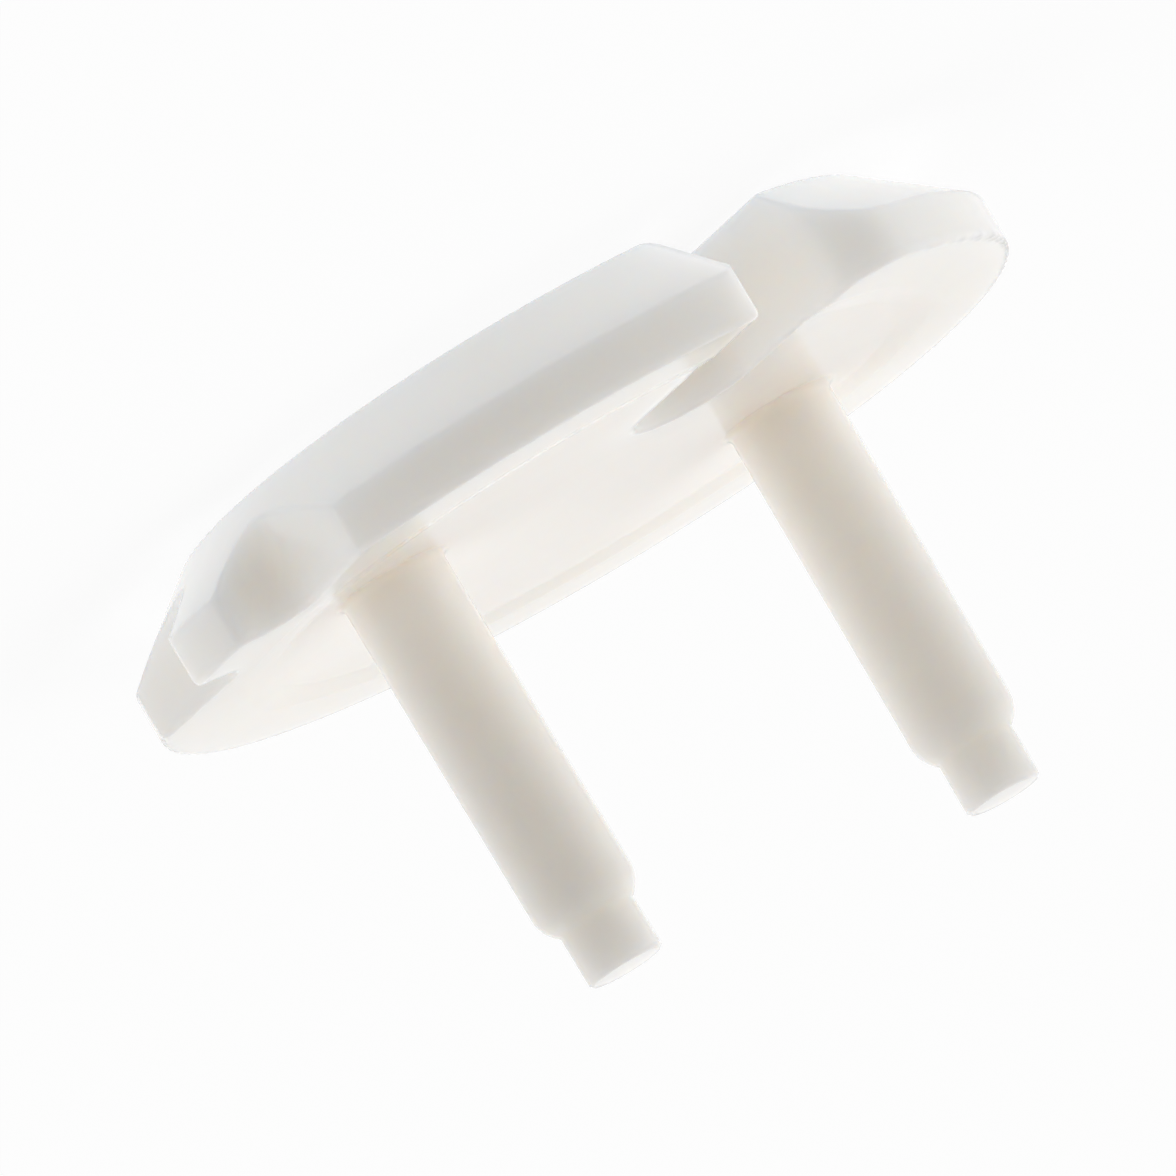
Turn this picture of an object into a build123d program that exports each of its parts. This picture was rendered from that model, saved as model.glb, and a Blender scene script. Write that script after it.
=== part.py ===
from build123d import *
from math import cos, isclose, pi, radians, sin, tan
import os

# Outlet safety cover: one moulding that plugs into a round-pin socket.
# It lies on its front face, z = 0, with its pins up. X runs along the line of the pins,
# and +Y points to the slot that lets the socket's earth pin through. Millimetres.

# Plate
PLATE_RADIUS = 17.6
PLATE_THICKNESS = 4.9
RIM_WALL_HEIGHT = 1.95
BEVEL_WIDTH = 3.6
FRONT_EDGE_ROUND = 0.5
BACK_EDGE_ROUND = 0.25

# Shallow dish in the back face, inside a flat land
LAND_WIDTH = 3.2
DISH_DEPTH = 0.15
DISH_SLOPE_WIDTH = 1.5

# Slot for the earth pin, open at the rim
EARTH_SLOT_WIDTH = 5.1
EARTH_SLOT_LENGTH = 11.65
EARTH_SLOT_CORNER = 2.5
EARTH_SLOT_KEYED_SIDE_ROUND = 0.3
EARTH_SLOT_FAR_SIDE_ROUND = 1.9

# Two notches at the -X end of the pin line, with a key left standing between them.
# The floor of the one nearer the slot rises a little towards the rim.
KEY_WIDTH = 4.1
KEY_CENTRE_Y = -0.95
KEY_CORNER_ROUND = 0.4
KEY_SLOT_SIDE_ROOT = 1.8
KEY_FAR_SIDE_ROOT = 0.8
NOTCH_DEPTH = 2.5
NOTCH_FLOOR_TILT = 7.0

# Pins, whose roots stand in from the rim so that they are 19 mm apart
PIN_INSET = 8.1
PIN_DIAMETER = 4.1
PIN_SHANK_LENGTH = 13.1
PIN_SHOULDER_LENGTH = 1.1
PIN_TIP_DIAMETER = 3.0
PIN_TIP_LENGTH = 2.1
PIN_END_CHAMFER = 0.12
PIN_LEAN = 0.6
PIN_ROOT_ROUND = 0.25
PIN_ROOT_SINK = 1.0

# Sizes that follow from the ones above
BEVEL_TOP_Z = PLATE_THICKNESS - RIM_WALL_HEIGHT
FRONT_FACE_RADIUS = PLATE_RADIUS - BEVEL_WIDTH
DISH_RADIUS = PLATE_RADIUS - LAND_WIDTH
DISH_FLOOR_Z = PLATE_THICKNESS - DISH_DEPTH
EARTH_SLOT_INNER_Y = PLATE_RADIUS - EARTH_SLOT_LENGTH
NOTCH_FLOOR_X = NOTCH_DEPTH - PLATE_RADIUS
KEY_SLOT_SIDE_Y = KEY_CENTRE_Y + KEY_WIDTH / 2
KEY_FAR_SIDE_Y = KEY_CENTRE_Y - KEY_WIDTH / 2
CUT_REACH = PLATE_RADIUS + 5.0
PIN_SPACING = 2 * (PLATE_RADIUS - PIN_INSET)
PIN_RADIUS = PIN_DIAMETER / 2
PIN_TIP_RADIUS = PIN_TIP_DIAMETER / 2
PIN_SHOULDER_DROP = PIN_RADIUS - PIN_TIP_RADIUS
SHOULDER_ARC_RADIUS = (PIN_SHOULDER_LENGTH**2 + PIN_SHOULDER_DROP**2) / (2 * PIN_SHOULDER_DROP)
PIN_LENGTH = PIN_SHANK_LENGTH + PIN_SHOULDER_LENGTH + PIN_TIP_LENGTH


def pin_plane(side):
    """Plane at the root of one pin, with its Z along the pin, which leans towards the other."""
    lean = radians(PIN_LEAN)
    return Plane(
        origin=(side * PIN_SPACING / 2, 0, DISH_FLOOR_Z),
        x_dir=(cos(lean), 0, side * sin(lean)),
        z_dir=(-side * sin(lean), 0, cos(lean)),
    )


with BuildPart() as cover:
    # Plate, turned about the centre line: flat front face, conical bevel, short straight rim
    with BuildSketch(Plane.XZ):
        with BuildLine():
            Polyline(
                (0, 0),
                (FRONT_FACE_RADIUS, 0),
                (PLATE_RADIUS, BEVEL_TOP_Z),
                (PLATE_RADIUS, PLATE_THICKNESS),
                (0, PLATE_THICKNESS),
                close=True,
            )
        make_face()
    revolve(axis=Axis.Z)

    # Slot for the earth pin
    with BuildSketch(Plane.XY) as slot_outline:
        with Locations((0, EARTH_SLOT_INNER_Y)):
            Rectangle(EARTH_SLOT_WIDTH, CUT_REACH, align=(Align.CENTER, Align.MIN))
        fillet(slot_outline.vertices().group_by(Axis.Y)[0], radius=EARTH_SLOT_CORNER)
    extrude(amount=PLATE_THICKNESS, mode=Mode.SUBTRACT)

    mouth_edges = cover.edges().filter_by(Axis.Z).group_by(Axis.Y)[-1].sort_by(Axis.X)
    fillet(mouth_edges[0], radius=EARTH_SLOT_KEYED_SIDE_ROUND)
    mouth_edges = cover.edges().filter_by(Axis.Z).group_by(Axis.Y)[-1].sort_by(Axis.X)
    fillet(mouth_edges[-1], radius=EARTH_SLOT_FAR_SIDE_ROUND)

    # Keyed end: the rim is cut back on both sides of the key
    with BuildSketch(Plane.XY):
        with BuildLine():
            Polyline(
                (NOTCH_FLOOR_X, KEY_SLOT_SIDE_Y),
                (NOTCH_FLOOR_X - CUT_REACH * tan(radians(NOTCH_FLOOR_TILT)), KEY_SLOT_SIDE_Y + CUT_REACH),
                (-CUT_REACH, KEY_SLOT_SIDE_Y + CUT_REACH),
                (-CUT_REACH, KEY_SLOT_SIDE_Y),
                close=True,
            )
        make_face()
        with Locations((NOTCH_FLOOR_X, KEY_FAR_SIDE_Y)):
            Rectangle(CUT_REACH, CUT_REACH, align=(Align.MAX, Align.MAX))
    extrude(amount=PLATE_THICKNESS, mode=Mode.SUBTRACT)
    slot_side_edges = cover.edges().filter_by(
        lambda edge: isclose(edge.center().Y, KEY_SLOT_SIDE_Y, abs_tol=0.01) and edge.center().X < NOTCH_FLOOR_X + 0.01
    ).filter_by(Axis.Z).sort_by(Axis.X)
    fillet(slot_side_edges[-1], radius=KEY_SLOT_SIDE_ROOT)
    far_side_edges = cover.edges().filter_by(
        lambda edge: isclose(edge.center().Y, KEY_FAR_SIDE_Y, abs_tol=0.01) and edge.center().X < NOTCH_FLOOR_X + 0.01
    ).filter_by(Axis.Z).sort_by(Axis.X)
    fillet(far_side_edges[-1], radius=KEY_FAR_SIDE_ROOT)
    key_corners = cover.edges().filter_by(Axis.Z).sort_by(Axis.X)[:2]
    fillet(key_corners, radius=KEY_CORNER_ROUND)

    # Soft edge all round the front face
    front_face = cover.faces().filter_by(Plane.XY).sort_by(Axis.Z)[0]
    fillet(front_face.outer_wire().edges(), radius=FRONT_EDGE_ROUND)

    # Soft edge all round the back face
    back_face = cover.faces().filter_by(Plane.XY).sort_by(Axis.Z)[-1]
    fillet(back_face.outer_wire().edges(), radius=BACK_EDGE_ROUND)

    # Dish
    with BuildSketch(Plane.XZ):
        with BuildLine():
            Polyline(
                (0, DISH_FLOOR_Z),
                (DISH_RADIUS - DISH_SLOPE_WIDTH, DISH_FLOOR_Z),
                (DISH_RADIUS, PLATE_THICKNESS),
                (0, PLATE_THICKNESS),
                close=True,
            )
        make_face()
    revolve(axis=Axis.Z, mode=Mode.SUBTRACT)

    # Pins: shank, rounded shoulder and slim tip, turned about each pin's own leaning axis
    for side in (-1, 1):
        root = pin_plane(side)
        profile_plane = Plane(origin=root.origin, x_dir=root.x_dir, z_dir=-root.y_dir)
        with BuildSketch(profile_plane):
            with BuildLine():
                shank = Line((PIN_RADIUS, -PIN_ROOT_SINK), (PIN_RADIUS, PIN_SHANK_LENGTH))
                shoulder = RadiusArc(
                    shank @ 1,
                    (PIN_TIP_RADIUS, PIN_SHANK_LENGTH + PIN_SHOULDER_LENGTH),
                    -SHOULDER_ARC_RADIUS,
                )
                Polyline(
                    shoulder @ 1,
                    (PIN_TIP_RADIUS, PIN_LENGTH - PIN_END_CHAMFER),
                    (PIN_TIP_RADIUS - PIN_END_CHAMFER, PIN_LENGTH),
                    (0, PIN_LENGTH),
                    (0, -PIN_ROOT_SINK),
                    (PIN_RADIUS, -PIN_ROOT_SINK),
                )
            make_face()
        revolve(axis=Axis(root.origin, root.z_dir))
    dish_floor_edges = cover.edges().filter_by(lambda edge: isclose(edge.center().Z, DISH_FLOOR_Z, abs_tol=0.01))
    pin_roots = dish_floor_edges.filter_by(lambda edge: isclose(edge.length, PIN_DIAMETER * pi, rel_tol=0.02))
    fillet(pin_roots, radius=PIN_ROOT_ROUND)

cover.part.label = "cover"
os.makedirs("parts", exist_ok=True)
export_step(cover.part, "parts/cover.step")
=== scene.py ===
import math

import bpy
from mathutils import Matrix, Vector

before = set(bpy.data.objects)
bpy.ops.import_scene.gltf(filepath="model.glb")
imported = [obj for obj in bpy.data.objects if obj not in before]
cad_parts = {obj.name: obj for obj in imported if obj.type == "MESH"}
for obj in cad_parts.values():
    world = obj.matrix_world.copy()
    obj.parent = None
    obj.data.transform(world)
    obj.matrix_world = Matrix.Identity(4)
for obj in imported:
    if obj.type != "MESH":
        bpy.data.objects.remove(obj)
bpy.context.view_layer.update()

# Everything is in metres, and angles are in degrees.
# The camera looks at the cover from its slot side, almost level with the plate, and is turned
# so that the pins point down and to the right in the picture.
CAMERA_AZIMUTH = 127.79
CAMERA_ELEVATION = 8.92
CAMERA_ROLL = -149.21
CAMERA_DISTANCE = 1.0893
CAMERA_AIM = (-0.000587, -0.001948, 0.007515)
CAMERA_LENS = 930.4
CAMERA_SENSOR = 36.0
CAMERA_NEAR = 0.01
CAMERA_FAR = 10.0

# White moulded plastic, with faint clouds in its colour and gloss, and a fainter ripple
PLASTIC_DEEP = (0.905, 0.862, 0.812, 1.0)
PLASTIC_PALE = (0.925, 0.887, 0.843, 1.0)
CLOUD_SCALE = 180.0
RIPPLE_SCALE = 420.0
RIPPLE_STRENGTH = 0.03
RIPPLE_HEIGHT = 0.0001
GLOSS_ROUGHNESS = 0.10
GLOSS_SPREAD = 0.06
PLASTIC_IOR = 1.5
# How far red, green and blue light travel inside the plastic
LIGHT_REACH = (0.0040, 0.0034, 0.0028)
# The mould's edges are softer than the plain solid's.
EDGE_SOFTNESS = 0.00045

# The room is a white tent that is lit all round except overhead and round the viewer.
# Angles are turned from the viewer, to the viewer's left or right.
LEFT_LIGHT = 1.55
RIGHT_LIGHT = 1.9
BACK_LIGHT = 1.3
SIDE_BLEND = 45.0
VIEWER_CORE = 30.0
VIEWER_EDGE = 66.0
BACK_EDGE = 115.0
BACK_CORE = 150.0
OVERHEAD_EDGE = 48.0
OVERHEAD_CORE = 74.0

# The table is lit from below where the cover lies on it. The picture shows it almost white,
# with a trace of the cover's shadow.
TABLE_SIZE = 8.0
TABLE_TOP = -0.00005
TABLE_GLOW = 0.56
TABLE_GLOW_FAR = 0.02
GLOW_COLOUR = (0.92, 1.0, 1.1, 1.0)
GLOW_CORE = 0.019
GLOW_EDGE = 0.030
TABLE_GREY = (0.4, 0.4, 0.4, 1.0)
TABLE_PALE = (0.95, 0.95, 0.95, 1.0)
TABLE_WHITENESS = 0.9
WHITE = (1.0, 1.0, 1.0, 1.0)


class Shader:
    """A socket of a node tree. Python's operators on it add Math nodes."""

    def __init__(self, tree, socket=None):
        self.tree = tree
        self.socket = socket

    def add(self, kind, settings=None, **inputs):
        """Any node: its type, its settings, and values or links by its sockets' names, or _ and their numbers."""
        node = self.tree.nodes.new(kind)
        for name, value in (settings or {}).items():
            setattr(node, name, value)
        for name, value in inputs.items():
            key = int(name[1:]) if name[1:].isdigit() else name.replace("_", " ")
            if isinstance(value, Shader):
                self.tree.links.new(value.socket, node.inputs[key])
            else:
                node.inputs[key].default_value = value
        return node

    def out(self, node, name=0):
        return Shader(self.tree, node.outputs[name])

    def shown(self):
        """1 where the picture or a reflection in it shows the surface, 0 where it only gives light."""
        rays = self.add("ShaderNodeLightPath")
        direct = self.out(rays, "Is Camera Ray").maths("MAXIMUM", self.out(rays, "Is Glossy Ray"))
        return direct.maths("MAXIMUM", self.out(rays, "Is Transmission Ray"))

    def clouds(self, scale, detail):
        """Soft noise over the surface."""
        return self.out(self.add("ShaderNodeTexNoise", Vector=self, Scale=scale, Detail=detail), "Fac")

    def along(self, way):
        """How far a direction points along another."""
        return self.out(self.add("ShaderNodeVectorMath", {"operation": "DOT_PRODUCT"}, _0=self, _1=way), "Value")

    def smooth(self, start, end, first, last):
        """Soft step from one value to another."""
        step = self.add(
            "ShaderNodeMapRange", {"interpolation_type": "SMOOTHSTEP"}, _0=self, _1=start, _2=end, _3=first, _4=last
        )
        return self.out(step)

    def maths(self, operation, other, swapped=False):
        first, second = (other, self) if swapped else (self, other)
        return self.out(self.add("ShaderNodeMath", {"operation": operation}, _0=first, _1=second))

    def __add__(self, other):
        return self.maths("ADD", other)

    def __sub__(self, other):
        return self.maths("SUBTRACT", other)

    def __rsub__(self, other):
        return self.maths("SUBTRACT", other, swapped=True)

    def __mul__(self, other):
        return self.maths("MULTIPLY", other)

    __radd__ = __add__
    __rmul__ = __mul__


def empty_nodes(owner):
    """The node tree of a material or world, emptied to be filled anew."""
    owner.use_nodes = True
    owner.node_tree.nodes.clear()
    return Shader(owner.node_tree)


def gloss_plastic():
    """White moulded plastic: warm, glossy, and a little translucent at thin edges."""
    material = bpy.data.materials.new("white_gloss_plastic")
    shader = empty_nodes(material)
    place = shader.out(shader.add("ShaderNodeTexCoord"), "Object")
    clouds = place.clouds(CLOUD_SCALE, 2.0)
    ripple = place.clouds(RIPPLE_SCALE, 1.0)
    colour = shader.add("ShaderNodeMix", {"data_type": "RGBA"}, Factor=clouds, _6=PLASTIC_DEEP, _7=PLASTIC_PALE)
    soft_edges = shader.out(shader.add("ShaderNodeBevel", {"samples": 8}, Radius=EDGE_SOFTNESS))
    bump = shader.add(
        "ShaderNodeBump", Strength=RIPPLE_STRENGTH, Distance=RIPPLE_HEIGHT, Height=ripple, Normal=soft_edges
    )
    surface = shader.add(
        "ShaderNodeBsdfPrincipled",
        Base_Color=shader.out(colour, 2),
        Roughness=GLOSS_ROUGHNESS + GLOSS_SPREAD * clouds,
        IOR=PLASTIC_IOR,
        Normal=shader.out(bump),
        Subsurface_Weight=1.0,
        Subsurface_Radius=LIGHT_REACH,
        Subsurface_Scale=1.0,
    )
    shader.add("ShaderNodeOutputMaterial", Surface=shader.out(surface))
    return material


def make_camera():
    azimuth, elevation, roll = (math.radians(a) for a in (CAMERA_AZIMUTH, CAMERA_ELEVATION, CAMERA_ROLL))
    back = Vector(
        (math.cos(azimuth) * math.cos(elevation), math.sin(azimuth) * math.cos(elevation), math.sin(elevation))
    )
    level_right = Vector((0, 0, 1)).cross(back).normalized()
    level_up = back.cross(level_right)
    up = level_up * math.cos(roll) + level_right * math.sin(roll)
    right = up.cross(back)
    data = bpy.data.cameras.new("view")
    data.lens = CAMERA_LENS
    data.sensor_width = CAMERA_SENSOR
    data.clip_start = CAMERA_NEAR
    data.clip_end = CAMERA_FAR
    camera = bpy.data.objects.new("view", data)
    bpy.context.scene.collection.objects.link(camera)
    turn = Matrix((right, up, back)).transposed().to_4x4()
    camera.matrix_world = Matrix.Translation(Vector(CAMERA_AIM) + CAMERA_DISTANCE * back) @ turn
    bpy.context.scene.camera = camera


def make_room():
    """White tent that is bright on its sides and dark on the side that the viewer stands on."""
    world = bpy.data.worlds.new("white_tent")
    bpy.context.scene.world = world
    shader = empty_nodes(world)
    direction = shader.out(shader.add("ShaderNodeTexCoord"), "Generated")
    turn = math.radians(CAMERA_AZIMUTH)
    ahead = direction.along((math.cos(turn), math.sin(turn), 0.0))
    aside = direction.along((-math.sin(turn), math.cos(turn), 0.0))
    height = direction.along((0.0, 0.0, 1.0))
    angle = aside.maths("ARCTAN2", ahead)
    turned = angle.maths("ABSOLUTE", 0.0)
    sides = angle.smooth(math.radians(-SIDE_BLEND), math.radians(SIDE_BLEND), RIGHT_LIGHT, LEFT_LIGHT)
    behind = turned.smooth(math.radians(BACK_EDGE), math.radians(BACK_CORE), 0.0, 1.0)
    viewer = turned.smooth(math.radians(VIEWER_CORE), math.radians(VIEWER_EDGE), 1.0, 0.0)
    overhead = height.smooth(math.sin(math.radians(OVERHEAD_EDGE)), math.sin(math.radians(OVERHEAD_CORE)), 1.0, 0.0)
    tent = (sides * (1.0 - behind) + BACK_LIGHT * behind) * (1.0 - viewer) * overhead
    seen = shader.shown()
    background = shader.add("ShaderNodeBackground", Color=WHITE, Strength=seen + (1.0 - seen) * tent)
    shader.add("ShaderNodeOutputWorld", Surface=shader.out(background))


def make_table():
    """Plain white table top that the front face lies on."""
    bpy.ops.object.select_all(action="DESELECT")
    bpy.ops.mesh.primitive_plane_add(size=TABLE_SIZE, location=(0, 0, TABLE_TOP))
    table = bpy.context.object
    table.name = "table"
    material = bpy.data.materials.new("white_table")
    shader = empty_nodes(material)
    place = shader.out(shader.add("ShaderNodeTexCoord"), "Object")
    reach = shader.out(shader.add("ShaderNodeVectorMath", {"operation": "LENGTH"}, _0=place), "Value")
    glow = reach.smooth(GLOW_CORE, GLOW_EDGE, TABLE_GLOW, TABLE_GLOW_FAR)
    dull = shader.add("ShaderNodeBsdfDiffuse", Color=TABLE_GREY)
    lamp = shader.add("ShaderNodeEmission", Color=GLOW_COLOUR, Strength=glow)
    hidden = shader.add("ShaderNodeAddShader", _0=shader.out(dull), _1=shader.out(lamp))
    pale = shader.add("ShaderNodeBsdfDiffuse", Color=TABLE_PALE)
    white = shader.add("ShaderNodeEmission", Color=WHITE, Strength=1.0)
    visible = shader.add("ShaderNodeMixShader", _0=TABLE_WHITENESS, _1=shader.out(pale), _2=shader.out(white))
    surface = shader.add("ShaderNodeMixShader", _0=shader.shown(), _1=shader.out(hidden), _2=shader.out(visible))
    shader.add("ShaderNodeOutputMaterial", Surface=shader.out(surface))
    table.data.materials.append(material)


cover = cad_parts["cover"]
cover.data.materials.clear()
cover.data.materials.append(gloss_plastic())
make_camera()
make_room()
make_table()
bpy.context.scene.view_settings.view_transform = "Standard"
